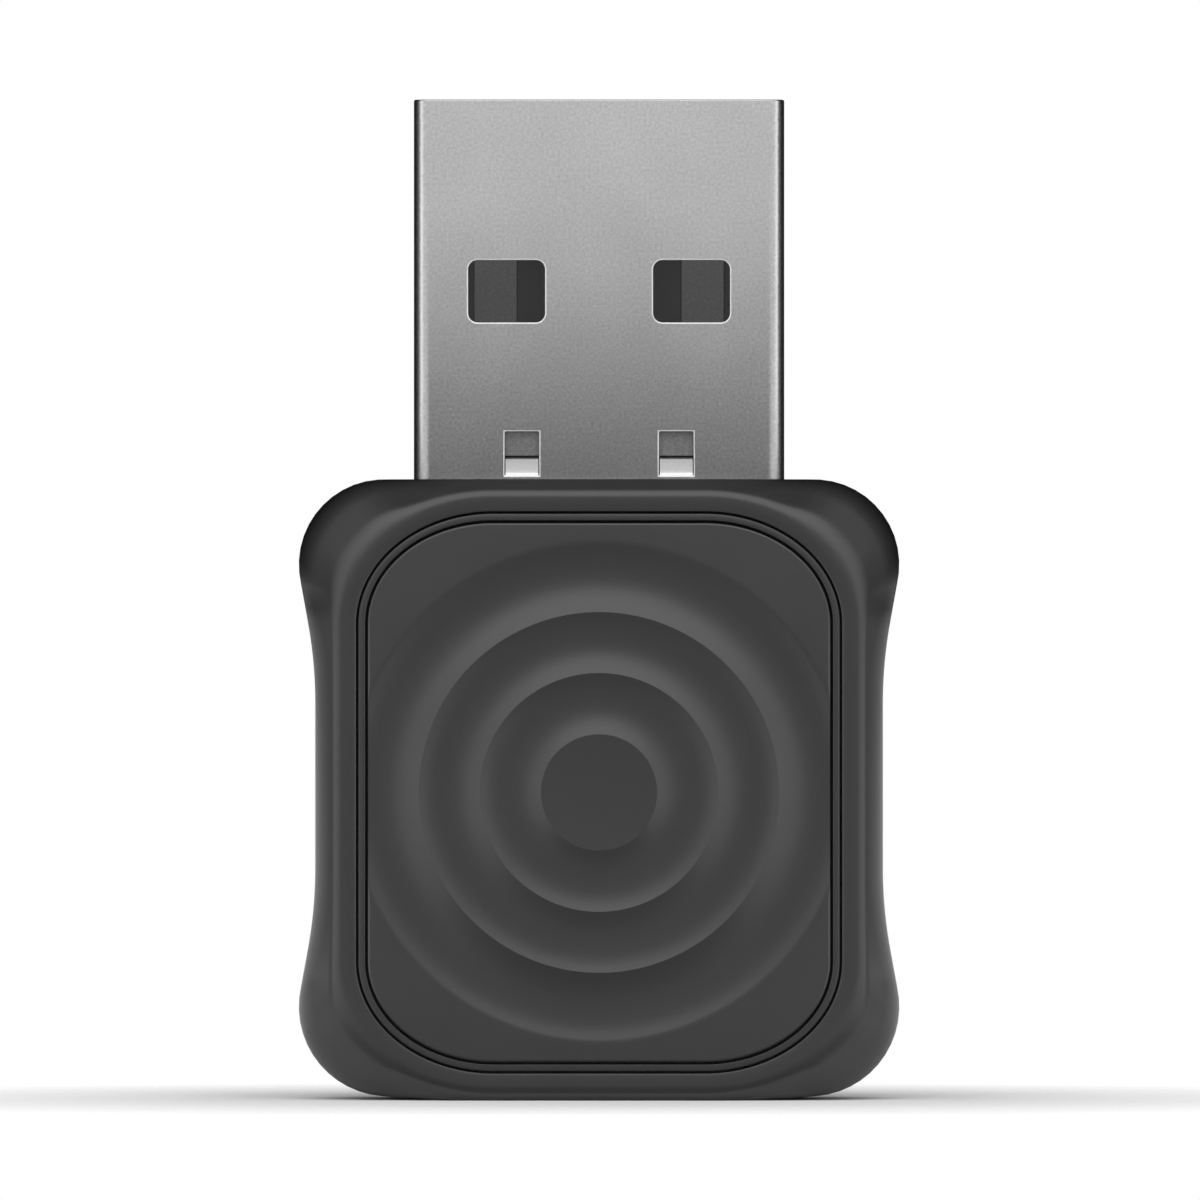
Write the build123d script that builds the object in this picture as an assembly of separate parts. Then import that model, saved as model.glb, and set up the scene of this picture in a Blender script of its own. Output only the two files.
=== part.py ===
from build123d import *
from math import asin, cos, degrees, radians, sin
import os

# USB wifi adapter, standing on its tail end with the plug upwards.
# X runs across the body, Z along the plug, and the face with the rippled plate looks towards -Y.
# The origin is the middle of the base. A depth is counted from the mid-plane: forwards in the front
# half, and backwards in the rear half, which is modelled facing forwards and then mirrored.

# Body outline
body_height = 20.1
ear_half_width = 9.73
waist_half_width = 9.19
top_corner_radius = 2.75
bottom_corner_radius = 2.9
flank_angle = 10.5          # lean of the flank between an ear and the waist, in degrees
waist_blend_radius = 14.5
foot_half_width = 4.2       # flat land that the adapter stands on
foot_bow_radius = 35.0      # gentle rise from the land to the corner

# Body thickness
half_depth = 4.0            # from the mid-plane to the raised frame
ear_drop = 0.35             # flat of the ears, below the raised frame
rim_radius = 1.9
frame_edge = 0.3            # bevel round the raised frame
wall = 1.0
inside_corner_radius = 1.9
roof_depth = 2.1            # inside height of the front half, and of the rear half at its edges
rear_roof_depth = 3.0       # inside height of the rear half behind the flat
parting_clearance = 0.05

# Face plate and what surrounds it
plate_half_width = 7.47
plate_half_height = 8.70
plate_center_z = 9.97
corner_half_width = 4.05    # the corners are quarter ellipses
corner_half_height = 3.25
plate_gap = 0.07
ring_width = 0.24
ring_gap = 0.085
frame_width = 0.815         # from the opening to the outer wall of the frame
recess_over_plug = 0.65     # floor of the recess, above the plug's shell
ring_lug_width = 0.9
ring_lug_length = 6.0
ring_lug_thickness = 0.3
seat_clearance = 0.05
crest_radii = (1.88, 3.86, 5.83, 8.07)
dish_sag = 0.1
scallop_sag = 0.24
scallop_flats = 3           # turned flats per scallop, which stay within 0.03 of its curve
dish_flats = 4
tab_thickness = 0.8
tab_width = 2.0
tab_bead = 0.25
tab_bead_height = 0.35
tab_spread_x = 4.6
tab_spread_z = 5.5

# USB-A plug
plug_width = 12.0
plug_thickness = 4.5
plug_length = 12.3          # what stands out of the body
plug_corner_radius = 0.55
sheet = 0.3
plug_root_z = 17.3
plug_fit = 0.05
window_width = 2.49
window_height = 2.02
window_corner_radius = 0.3
window_from_tip = 5.2
window_spread = 2.995
lock_width = 1.12
lock_height = 1.43
lock_spread = 2.5
lock_base_z = 20.22
lock_tab_reach = 0.6
lock_tab_clearance = 0.03
seam_width = 0.06
dovetail_reach = 1.4
dovetail_flare = 0.35
dovetail_base_z = 24.6
dovetail_height = 1.6
leg_length = 2.0
leg_front = 0.35            # how far a leg's width reaches in front of the mid-plane
leg_back = 1.45

# Insulator and contacts
insulator_clearance = 0.05
insulator_corner_radius = 0.3
insulator_root_z = 16.6
block_top_z = 22.0
tongue_recess = 0.5         # tongue tip below the shell's tip
contact_thickness = 0.25
contact_width = 1.37
contact_spread_outer = 3.36
contact_spread_inner = 1.0
contact_recess_outer = 1.4  # contact tip below the shell's tip
contact_recess_inner = 2.4
contact_hook = 0.6
contact_fit = 0.02
contact_tail_z = 14.7

# Circuit board
board_front = 0.25          # behind the mid-plane
board_thickness = 0.8
board_half_width = 7.3
board_over_wall = 0.6       # from the wall at the tail end to the board
board_top_z = 16.4
board_corner_radius = 2.0
board_slot_clearance = 0.05
post_width = 1.4
post_x = 6.2
post_low_z = 3.3
post_high_z = 13.6
pin_radius = 0.45
pin_clearance = 0.05
pin_short_of_face = 0.1

# Snap hooks, two on each side
hook_thickness = 0.55
hook_width = 1.4
hook_wall_gap = 0.09
hook_reach = 0.9            # how far the arm passes the mid-plane
hook_bead = 0.3
hook_bead_height = 0.55
hook_z = (8.75, 11.95)
rib_thickness = 0.45        # ribs of the front cover that locate the rear one
rib_overlap = 0.5
side_rib_z = ((4.6, 6.8), (14.7, 15.9))
base_rib_x = (1.5, 4.0)

# Parts on the board
chip_size = 6.0
chip_height = 0.85
chip_center = (0.6, 9.1)
chip_land_count = 4
chip_land_pitch = 1.27
chip_land_width = 0.35
chip_land_thickness = 0.15
chip_land_proud = 0.08
crystal_width = 2.5
crystal_length = 2.0
crystal_base_height = 0.35
crystal_lid_height = 0.3
crystal_lid_margin = 0.15
crystal_center = (-5.2, 9.1)
filter_size = (0.8, 1.6)
filter_height = 0.6
filter_cap = 0.25
filter_cap_proud = 0.02
filter_center = (0.6, 5.05)
array_body = (2.0, 1.25)
array_height = 0.9
array_center = (0.0, 13.3)
array_lead_pitch = 0.65
regulator_body = (2.9, 1.6)
regulator_height = 1.1
regulator_center = (-3.2, 12.6)
regulator_lead_pitch = 0.95
lead_width = 0.3
lead_reach = 0.4
lead_thickness = 0.15
inductor_size = 3.0
inductor_height = 1.2
inductor_corner = 0.4
inductor_core_radius = 1.15
inductor_core_depth = 0.25
inductor_center = (2.4, 12.0)
small_length = 1.0
small_width = 0.5
capacitor_height = 0.5
resistor_height = 0.35
solder_leg = 0.35
solder_length = 0.9

# Printed aerial: a meander of copper bars along the tail end of the board
aerial_copper = 0.05
aerial_line = 0.4
aerial_pitch = 1.1
aerial_bars = 9
aerial_low_z = 2.1
aerial_high_z = 3.9

slab_depth = half_depth - ear_drop
board_back = board_front + board_thickness
board_base_z = wall + board_over_wall
shell_tip_z = body_height + plug_length
ring_inner_grow = plate_gap
ring_outer_grow = plate_gap + ring_width
opening_grow = ring_outer_grow + ring_gap
frame_grow = opening_grow + frame_width
plug_half_thickness = plug_thickness / 2
recess_floor = plug_half_thickness + recess_over_plug
inner_half_width = plug_width / 2 - sheet
inner_half_thickness = plug_half_thickness - sheet
aerial_center_x = chip_center[0] - aerial_pitch * (aerial_bars - 1) / 2


def prism(sketch, start, end):
    """A sketch of the front view, made solid between two depths."""
    return extrude(Plane.XZ.offset(start) * sketch, amount=end - start)


def upright(sketch, low_z, high_z):
    """A sketch of the view from above, made solid between two heights."""
    return extrude(Plane.XY.offset(low_z) * sketch, amount=high_z - low_z)


def block(x, y, z):
    """A box from its lowest and highest value along each axis."""
    size = (x[1] - x[0], y[1] - y[0], z[1] - z[0])
    return Pos(x[0], y[0], z[0]) * Box(*size, align=(Align.MIN, Align.MIN, Align.MIN))


def post(x, z, start, end):
    """A square post standing between two depths."""
    return prism(Pos(x, z) * Rectangle(post_width, post_width), start, end)


def ear_to_waist(ear_z, radius, heading):
    """From the widest point of an ear, round its crown and down the flank, to the waist."""
    lean = radians(flank_angle)
    crown = JernArc((ear_half_width, ear_z), (0, heading), radius, heading * flank_angle)
    taken_by_arcs = (radius + waist_blend_radius) * (1 - cos(lean))
    run = (ear_half_width - waist_half_width - taken_by_arcs) / sin(lean)
    flank = Line(crown @ 1, crown @ 1 + (crown % 1) * run)
    blend = JernArc(flank @ 1, flank % 1, waist_blend_radius, -heading * flank_angle)
    return [crown, flank, blend]


def body_outline():
    corner_x = ear_half_width - bottom_corner_radius
    bow_turn = asin((corner_x - foot_half_width) / (foot_bow_radius - bottom_corner_radius))
    foot = Line((0, 0), (foot_half_width, 0))
    bow = JernArc(foot @ 1, foot % 1, foot_bow_radius, degrees(bow_turn))
    corner = JernArc(bow @ 1, bow % 1, bottom_corner_radius, 90 - degrees(bow_turn))
    lower = ear_to_waist((corner @ 1).Y, bottom_corner_radius, 1)
    top_ear_z = body_height - top_corner_radius
    upper = ear_to_waist(top_ear_z, top_corner_radius, -1)
    waist = Line(lower[-1] @ 1, upper[-1] @ 1)
    top_corner = JernArc((ear_half_width, top_ear_z), (0, 1), top_corner_radius, 90)
    top = Line(top_corner @ 1, (0, body_height))
    half = Curve() + [foot, bow, corner, *lower, waist, *upper, top_corner, top]
    return make_face(half + mirror(half, Plane.YZ))


def panel_outline(grow):
    """The outline of the face plate, grown on all sides."""
    corner_a = corner_half_width + grow
    corner_b = corner_half_height + grow
    x = plate_half_width - corner_half_width
    z = plate_half_height - corner_half_height
    side = Line((x + corner_a, 0), (x + corner_a, z))
    corner = EllipticalCenterArc((x, z), corner_a, corner_b, start_angle=0, arc_size=90)
    top = Line((x, z + corner_b), (0, z + corner_b))
    quarter = Curve() + [side, corner, top]
    half = quarter + mirror(quarter, Plane.XZ)
    return Pos(0, plate_center_z) * make_face(half + mirror(half, Plane.YZ))


def front_face_edges(solid):
    return solid.faces().sort_by(Axis.Y)[0].edges()


def half_body():
    """Half of the outside form: a slab with a round rim, and the raised frame on it."""
    outline = body_outline()
    slab = fillet(front_face_edges(prism(outline, 0, slab_depth)), rim_radius)
    raised = prism(panel_outline(frame_grow), wall, half_depth)
    return slab + chamfer(front_face_edges(raised), frame_edge)


def inside_outline():
    width = 2 * (waist_half_width - wall)
    return Pos(0, body_height / 2) * RectangleRounded(width, body_height - 2 * wall, inside_corner_radius)


def plug_mouth():
    """The space that the plug's shell takes through the top wall and down to its root."""
    fit = plug_fit
    section = RectangleRounded(plug_width + 2 * fit, plug_thickness + 2 * fit, plug_corner_radius + fit)
    return upright(section, plug_root_z - fit, body_height + wall)


def hook_wall_x():
    return waist_half_width - wall


def at_hooks(make):
    """One copy for each snap hook, on both sides."""
    right = [make(z) for z in hook_z]
    return right + [mirror(piece, Plane.YZ) for piece in right]


def hook_arm(z):
    """A cantilever arm with a ramped bead, drawn in the rear half's own sense."""
    outer_x = hook_wall_x() - hook_wall_gap
    inner_x = outer_x - hook_thickness
    bead_start = -hook_reach + hook_bead_height
    arm = Polyline(
        (inner_x, roof_depth),
        (inner_x, -hook_reach),
        (outer_x, -hook_reach),
        (outer_x + hook_bead, bead_start),
        (outer_x, bead_start),
        (outer_x, roof_depth),
        close=True,
    )
    side_view = Plane(origin=(0, 0, z - hook_width / 2), x_dir=(1, 0, 0), z_dir=(0, 0, 1))
    profile = mirror(make_face(arm), Plane.XZ)
    return extrude(side_view * profile, amount=hook_width)


def hook_pocket(z):
    """The catch in the front cover's wall that a bead drops into."""
    gap = parting_clearance
    high = z + hook_width / 2 + gap
    low = z - hook_width / 2 - gap
    reach = hook_wall_x() - hook_wall_gap + hook_bead + gap
    ledge = hook_reach - hook_bead_height - gap
    return block((hook_wall_x() - 0.5 * wall, reach), (-hook_reach - gap, -ledge), (low, high))


def locating_rib(x, z):
    """A rib inside the front wall that reaches past the mid-plane, drawn by its plan."""
    return block(x, (-roof_depth, rib_overlap), z)


def locating_ribs():
    outer = hook_wall_x() - parting_clearance
    base = wall + parting_clearance
    ribs = []
    for side in (-1, 1):
        across = sorted((side * (outer - rib_thickness), side * outer))
        ribs += [locating_rib(across, z) for z in side_rib_z]
        along = sorted(side * x for x in base_rib_x)
        ribs.append(locating_rib(along, (base, base + rib_thickness)))
    return ribs


def front_cover():
    cover = half_body() - prism(inside_outline(), 0, roof_depth)
    cover -= prism(panel_outline(opening_grow), recess_floor, half_depth)
    for rib in locating_ribs():
        cover += rib
    for x in (-post_x, post_x):
        for z in (post_low_z, post_high_z):
            cover += post(x, z, -board_front, roof_depth)
    for slot in at_tabs(tab_slot):
        cover -= slot
    for pocket in at_hooks(hook_pocket):
        cover -= pocket
    return cover - plug_mouth()


def rear_cover():
    cover = half_body() - prism(inside_outline(), 0, roof_depth)
    well_width = 2 * plate_half_width - wall
    well_height = 2 * plate_half_height - wall
    well = Pos(0, plate_center_z) * Rectangle(well_width, well_height)
    well = chamfer(well.vertices(), corner_half_height)
    cover -= prism(well, 0, rear_roof_depth)
    for x in (-post_x, post_x):
        cover += post(x, post_high_z, board_back, rear_roof_depth)
        cover += post(x, post_low_z, board_back, rear_roof_depth)
        pin = Pos(x, post_low_z) * Circle(pin_radius)
        cover += prism(pin, board_front + pin_short_of_face, board_back)
    for arm in at_hooks(hook_arm):
        cover += arm
    saddle_x = plug_width / 2 - plug_corner_radius
    saddle_z = (plug_root_z + sheet, plug_root_z + sheet + wall)
    cover += block((-saddle_x, saddle_x), (-rear_roof_depth, -roof_depth), saddle_z)
    return mirror(cover - plug_mouth(), Plane.XZ)


def at_tabs(make):
    """One copy for each of the plate's four tabs."""
    right = [make(plate_center_z + z) for z in (-tab_spread_z, tab_spread_z)]
    return right + [mirror(piece, Plane.YZ) for piece in right]


def plate_tab(z):
    """A tab behind the plate whose ramped bead snaps under the cover's floor."""
    inner_x = tab_spread_x - tab_thickness / 2
    outer_x = tab_spread_x + tab_thickness / 2
    bead = -roof_depth + seat_clearance
    end = bead + tab_bead_height
    side = Polyline(
        (inner_x, -recess_floor),
        (inner_x, end),
        (outer_x, end),
        (outer_x + tab_bead, bead),
        (outer_x, bead),
        (outer_x, -recess_floor),
        close=True,
    )
    return upright(make_face(side), z - tab_width / 2, z + tab_width / 2)


def tab_slot(z):
    gap = seat_clearance
    across = (tab_spread_x - tab_thickness / 2 - gap, tab_spread_x + tab_thickness / 2 + gap)
    return block(across, (-recess_floor, -roof_depth), (z - tab_width / 2 - gap, z + tab_width / 2 + gap))


def hollow(inner, outer, sag, flats):
    """Points along a hollow that starts and ends level with the face."""
    points = []
    for step in range(flats):
        across = step / flats
        points.append((inner + across * (outer - inner), sag * 4 * across * (1 - across) - half_depth))
    return points


def ripple_cutter():
    """The round dish and the scallops between the crests, as one turned cutter."""
    first, last = crest_radii[0], crest_radii[-1]
    dish = hollow(-first, first, dish_sag, dish_flats)[dish_flats // 2:]
    scallops = []
    for inner, outer in zip(crest_radii, crest_radii[1:]):
        scallops += hollow(inner, outer, scallop_sag, scallop_flats)
    above = -half_depth - wall
    rest = [(last, -half_depth), (last, above), (0, above)]
    profile = make_face(Polyline(*dish, *scallops, *rest, close=True))
    axis = Axis((0, 0, plate_center_z), (0, 1, 0))
    return revolve(Plane.XY.offset(plate_center_z) * profile, axis, 360)


def face_plate():
    """A plate with a rebate for the ring's lugs, and snap tabs behind it."""
    rebate = recess_floor + ring_lug_thickness + seat_clearance
    inside_lugs = ring_outer_grow - ring_lug_width - seat_clearance
    plate = prism(panel_outline(0), rebate, half_depth)
    plate += prism(panel_outline(inside_lugs), recess_floor, rebate)
    for tab in at_tabs(plate_tab):
        plate += tab
    return plate - ripple_cutter()


def trim_ring():
    """A thin upright ring with a lug on each side that is held under the plate."""
    outer = panel_outline(ring_outer_grow)
    band = outer - panel_outline(ring_inner_grow)
    cross = Rectangle(4 * plate_half_width, ring_lug_length) + Rectangle(ring_lug_length, 4 * plate_half_width)
    lugs = outer - panel_outline(ring_outer_grow - ring_lug_width)
    lugs &= Pos(0, plate_center_z) * cross
    return prism(band, recess_floor, half_depth) + prism(lugs, recess_floor, recess_floor + ring_lug_thickness)


def plug_windows():
    z = shell_tip_z - window_from_tip - window_height / 2
    opening = RectangleRounded(window_width, window_height, window_corner_radius)
    return [prism(Pos(x, z) * opening, -plug_thickness, plug_thickness) for x in (-window_spread, window_spread)]


def lock_tab(x):
    """A tongue of the shell's own sheet, bent inwards at 45 degrees below its cut-out."""
    outer = -plug_half_thickness
    root = lock_base_z - sheet
    tip = (outer + lock_tab_reach, lock_base_z + lock_tab_reach)
    drop = sheet * sin(radians(45))
    side = Polyline(
        (outer, root),
        (outer, lock_base_z),
        tip,
        (tip[0] + drop, tip[1] - drop),
        (outer + sheet, lock_base_z - drop),
        (outer + sheet, root),
        close=True,
    )
    half = lock_width / 2 - lock_tab_clearance
    return extrude(Plane.YZ.offset(x - half) * make_face(side), amount=2 * half)


def seam():
    """The fold's closing line down the back, with a dovetail key that locks the two edges."""
    top = dovetail_base_z + dovetail_height
    line = Polyline(
        (0, plug_root_z - wall),
        (0, dovetail_base_z),
        (dovetail_reach, dovetail_base_z - dovetail_flare),
        (dovetail_reach, top + dovetail_flare),
        (0, top),
        (0, shell_tip_z + wall),
    )
    return prism(trace(line, seam_width), -plug_thickness, -inner_half_thickness + seam_width)


def plug_shell():
    outside = RectangleRounded(plug_width, plug_thickness, plug_corner_radius)
    inside = RectangleRounded(2 * inner_half_width, 2 * inner_half_thickness, plug_corner_radius - sheet)
    shell = upright(outside - inside, plug_root_z, shell_tip_z)
    lock = Rectangle(lock_width, lock_height, align=(Align.CENTER, Align.MIN))
    for x in (-lock_spread, lock_spread):
        shell -= prism(Pos(x, lock_base_z) * lock, 0, plug_thickness)
        shell += lock_tab(x)
    for window in plug_windows():
        shell -= window
    for side in (-1, 1):
        across = sorted((side * plug_width / 2, side * inner_half_width))
        shell += block(across, (-leg_front, leg_back), (plug_root_z - leg_length, plug_root_z))
    return shell - seam()


def contact_places():
    """Each contact's place across the plug, and how far its tip lies below the shell's tip."""
    return {
        "contact_power": (-contact_spread_outer, contact_recess_outer),
        "contact_data_minus": (-contact_spread_inner, contact_recess_inner),
        "contact_data_plus": (contact_spread_inner, contact_recess_inner),
        "contact_ground": (contact_spread_outer, contact_recess_outer),
    }


def contact(x, recess, fit=0):
    """A flat strip with its tip turned into the tongue. With a fit, the slot that takes it."""
    tip = shell_tip_z - recess + fit
    strip = Polyline(
        (0, contact_tail_z),
        (0, tip),
        (contact_hook + fit, tip),
        (contact_hook + fit, tip - contact_thickness - 2 * fit),
        (contact_thickness, tip - contact_thickness - 2 * fit),
        (contact_thickness, contact_tail_z),
        close=True,
    )
    half = contact_width / 2 + fit
    return extrude(Plane.YZ.offset(x - half) * make_face(strip), amount=2 * half)


def plug_insulator():
    """The block that closes the shell's root, and the tongue that carries the contacts."""
    half_width = inner_half_width - insulator_clearance
    half_thickness = inner_half_thickness - insulator_clearance
    section = RectangleRounded(2 * half_width, 2 * half_thickness, insulator_corner_radius)
    front_half = Pos(0, -half_thickness) * Rectangle(2 * plug_width, 2 * half_thickness)
    insulator = upright(section, insulator_root_z, block_top_z)
    insulator += upright(section - front_half, block_top_z, shell_tip_z - tongue_recess)
    pocket_reach = lock_tab_reach + sheet + insulator_clearance
    pocket = (-plug_half_thickness, -plug_half_thickness + pocket_reach)
    height = (lock_base_z - sheet, lock_base_z + lock_tab_reach + insulator_clearance)
    for x in (-lock_spread, lock_spread):
        insulator -= block((x - lock_width / 2, x + lock_width / 2), pocket, height)
    for x, recess in contact_places().values():
        insulator -= contact(x, recess, contact_fit)
    return insulator


def board_outline():
    height = board_top_z - board_base_z
    board = Pos(0, board_base_z + height / 2) * Rectangle(2 * board_half_width, height)
    board = fillet(board.vertices().group_by(Axis.Y)[0], board_corner_radius)
    for x in (-post_x, post_x):
        board -= Pos(x, post_low_z) * Circle(pin_radius + pin_clearance)
    slot_width = sheet + 2 * board_slot_clearance
    slot_depth = board_top_z - plug_root_z + leg_length + board_slot_clearance
    for side in (-1, 1):
        slot = Rectangle(slot_width, slot_depth, align=(Align.CENTER, Align.MAX))
        board -= Pos(side * (plug_width - sheet) / 2, board_top_z) * slot
    return board


def circuit_board():
    return prism(board_outline(), -board_back, -board_front)


def on_front(center, piece):
    """Seats a part, drawn standing on the XY plane, on the front of the board."""
    return Pos(center[0], board_front, center[1]) * Rot(90, 0, 0) * piece


def on_back(center, piece):
    return Pos(center[0], board_back, center[1]) * Rot(-90, 0, 0) * piece


def standing(width, length, height):
    return Box(width, length, height, align=(Align.CENTER, Align.CENTER, Align.MIN))


def wifi_chip():
    """A flat leadless package with a row of lands along each side."""
    chip = standing(chip_size, chip_size, chip_height)
    span = chip_size + 2 * chip_land_proud
    for turn in (0, 90):
        for land in range(chip_land_count):
            across = (land - (chip_land_count - 1) / 2) * chip_land_pitch
            chip += Rot(0, 0, turn) * Pos(across, 0, 0) * standing(chip_land_width, span, chip_land_thickness)
    return on_front(chip_center, chip)


def crystal():
    """A ceramic tray with a metal lid."""
    lid_width = crystal_width - 2 * crystal_lid_margin
    lid_length = crystal_length - 2 * crystal_lid_margin
    tray = standing(crystal_width, crystal_length, crystal_base_height)
    lid = Pos(0, 0, crystal_base_height) * standing(lid_width, lid_length, crystal_lid_height)
    return on_front(crystal_center, tray + lid)


def leaded_package(body, height, pitch, counts):
    """A small moulded package with gull leads, as many as counts says on each long side."""
    width, length = body
    package = Pos(0, 0, lead_thickness / 2) * standing(width, length, height - lead_thickness / 2)
    package = chamfer(package.faces().sort_by(Axis.Z)[-1].edges(), lead_thickness)
    for side, count in zip((-1, 1), counts):
        for lead in range(count):
            spacing = pitch * (counts[0] - 1) / max(count - 1, 1)
            across = (lead - (count - 1) / 2) * spacing
            away = side * (length / 2 + lead_reach / 2)
            package += Pos(across, away, 0) * standing(lead_width, lead_reach, lead_thickness)
    return package


def esd_array():
    return on_front(array_center, leaded_package(array_body, array_height, array_lead_pitch, (3, 3)))


def voltage_regulator():
    package = leaded_package(regulator_body, regulator_height, regulator_lead_pitch, (3, 2))
    return on_back(regulator_center, package)


def power_inductor():
    """A square ferrite frame round a drum core."""
    frame = standing(inductor_size, inductor_size, inductor_height)
    frame = chamfer(frame.edges().filter_by(Axis.Z), inductor_corner)
    well = upright(Circle(inductor_core_radius), inductor_height - inductor_core_depth, inductor_height)
    return on_back(inductor_center, frame - well)


def rf_filter():
    width, length = filter_size
    body = standing(width, length, filter_height)
    for side in (-1, 1):
        cap = standing(width + 2 * filter_cap_proud, filter_cap, filter_height + filter_cap_proud)
        body += Pos(0, side * (length - filter_cap) / 2, 0) * cap
    return on_front(filter_center, body)


def small_part(height):
    """A chip capacitor or resistor, kept to its plain block because it repeats."""
    return standing(small_width, small_length, height)


def ceramic_capacitors():
    beside_chip = chip_size / 2 + small_length
    around = []
    for side in (-1, 1):
        for z in (-2, 0, 2):
            around.append((chip_center[0] + side * beside_chip, chip_center[1] + z))
    behind = [(inductor_center[0] + x, inductor_center[1] - inductor_size / 2 - small_length) for x in (-1, 0, 1)]
    front = [on_front(place, small_part(capacitor_height)) for place in around]
    return front + [on_back(place, small_part(capacitor_height)) for place in behind]


def chip_resistors():
    below_chip = chip_center[1] - chip_size / 2 - small_length
    row = [(chip_center[0] + x, below_chip) for x in (-3.4, -2.2, 2.2, 3.4)]
    beside_array = [(array_center[0] + x, array_center[1]) for x in (-2.2, 2.2)]
    return [on_front(place, small_part(resistor_height)) for place in row + beside_array]


def antenna_trace():
    """Copper bars joined end to end in turn, with a feed up to the filter."""
    bar_height = aerial_high_z - aerial_low_z
    middle_z = (aerial_high_z + aerial_low_z) / 2
    copper = Sketch()
    for bar in range(aerial_bars):
        x = aerial_center_x + bar * aerial_pitch
        copper += Pos(x, middle_z) * Rectangle(aerial_line, bar_height)
        if bar + 1 < aerial_bars:
            z = aerial_high_z if bar % 2 else aerial_low_z
            copper += Pos(x + aerial_pitch / 2, z) * Rectangle(aerial_pitch + aerial_line, aerial_line)
    feed_top = filter_center[1] - filter_size[1] / 2
    feed_height = feed_top - middle_z
    copper += Pos(filter_center[0], middle_z + feed_height / 2) * Rectangle(aerial_line, feed_height)
    return prism(copper, -board_front, aerial_copper - board_front)


def solder_wedge(corner, run, rise, low_z, length):
    """A three-sided bead in the corner between the board and a leg."""
    x, y = corner
    profile = make_face(Polyline((x, y), (x + run, y), (x, y + rise), close=True))
    return upright(profile, low_z, low_z + length)


def solder_joints():
    low_z = plug_root_z - leg_length + board_slot_clearance
    joints = []
    for side in (-1, 1):
        for x, run in ((inner_half_width, -solder_leg), (plug_width / 2, solder_leg)):
            joints.append(solder_wedge((side * x, board_front), side * run, -solder_leg, low_z, solder_length))
            joints.append(solder_wedge((side * x, board_back), side * run, solder_leg, low_z, solder_length))
    for x, _ in contact_places().values():
        foot = (board_front, contact_tail_z - solder_leg)
        side = Polyline((board_front, contact_tail_z), (0, contact_tail_z), foot, close=True)
        start = x - contact_width / 2
        joints.append(extrude(Plane.YZ.offset(start) * make_face(side), amount=contact_width))
    return joints


def all_parts():
    parts = {
        "front_cover": front_cover(),
        "rear_cover": rear_cover(),
        "trim_ring": trim_ring(),
        "face_plate": face_plate(),
        "plug_shell": plug_shell(),
        "plug_insulator": plug_insulator(),
        "circuit_board": circuit_board(),
        "antenna_trace": antenna_trace(),
        "wifi_chip": wifi_chip(),
        "crystal": crystal(),
        "power_inductor": power_inductor(),
        "voltage_regulator": voltage_regulator(),
        "esd_array": esd_array(),
        "rf_filter": rf_filter(),
        "ceramic_capacitors": Compound(children=ceramic_capacitors()),
        "chip_resistors": Compound(children=chip_resistors()),
        "solder_joints": Compound(children=solder_joints()),
    }
    for name, (x, recess) in contact_places().items():
        parts[name] = contact(x, recess)
    return parts


os.makedirs("parts", exist_ok=True)
for node, part in all_parts().items():
    export_step(part, f"parts/{node}.step")
    print(node, round(part.volume, 3))
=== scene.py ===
import bpy
import bmesh
import numpy as np
from math import asin, cos, degrees, pi, radians, sin, sqrt, tan
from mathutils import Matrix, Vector


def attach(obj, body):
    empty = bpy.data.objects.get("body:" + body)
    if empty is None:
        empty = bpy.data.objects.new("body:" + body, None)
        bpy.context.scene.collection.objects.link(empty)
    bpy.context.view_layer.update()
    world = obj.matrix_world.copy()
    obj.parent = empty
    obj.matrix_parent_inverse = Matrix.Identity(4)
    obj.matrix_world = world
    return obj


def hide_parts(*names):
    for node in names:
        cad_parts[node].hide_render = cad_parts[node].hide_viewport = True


# Nano wifi adapter: charcoal housing in two halves, rippled plate in a thin ring, folded metal plug.
# Sizes in the dictionaries are in millimetres, and mm turns them into metres.

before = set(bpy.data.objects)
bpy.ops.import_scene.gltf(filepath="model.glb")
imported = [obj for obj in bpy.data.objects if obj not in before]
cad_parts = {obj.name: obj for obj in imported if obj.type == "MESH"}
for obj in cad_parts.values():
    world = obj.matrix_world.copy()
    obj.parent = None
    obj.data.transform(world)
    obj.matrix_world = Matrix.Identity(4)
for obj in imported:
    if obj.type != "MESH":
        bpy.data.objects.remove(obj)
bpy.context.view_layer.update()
mm = 0.001
front, back = -1, 1    # the way along Y that each half of the housing faces


def dropSelection():
    if bpy.context.mode != "OBJECT":
        bpy.ops.object.mode_set(mode="OBJECT")
    bpy.ops.object.select_all(action="DESELECT")


def makeActive(piece):
    dropSelection()
    piece.select_set(True)
    bpy.context.view_layer.objects.active = piece


def settle(piece, name):
    # names the new piece and moves its place into its mesh
    piece.name = name
    piece.data.name = name
    makeActive(piece)
    bpy.ops.object.transform_apply(location=True, rotation=True, scale=True)
    return piece


def editPiece(piece):
    makeActive(piece)
    bpy.ops.object.mode_set(mode="EDIT")


def pick(kind, test):
    # selects the verts, edges or faces whose middle passes the test; edit mode only
    mesh = bpy.context.object.data
    bpy.ops.mesh.select_mode(type=kind)
    bpy.ops.mesh.select_all(action="DESELECT")
    work = bmesh.from_edit_mesh(mesh)
    if kind == "VERT":
        for v in work.verts:
            v.select_set(bool(test(v.co / mm)))
    if kind == "EDGE":
        for e in work.edges:
            e.select_set(bool(test((e.verts[0].co + e.verts[1].co) / 2 / mm, (e.verts[1].co - e.verts[0].co) / mm)))
    if kind == "FACE":
        for f in work.faces:
            f.select_set(bool(test(f.calc_center_median() / mm, f.normal)))
    work.select_flush_mode()
    bmesh.update_edit_mesh(mesh)


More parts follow.
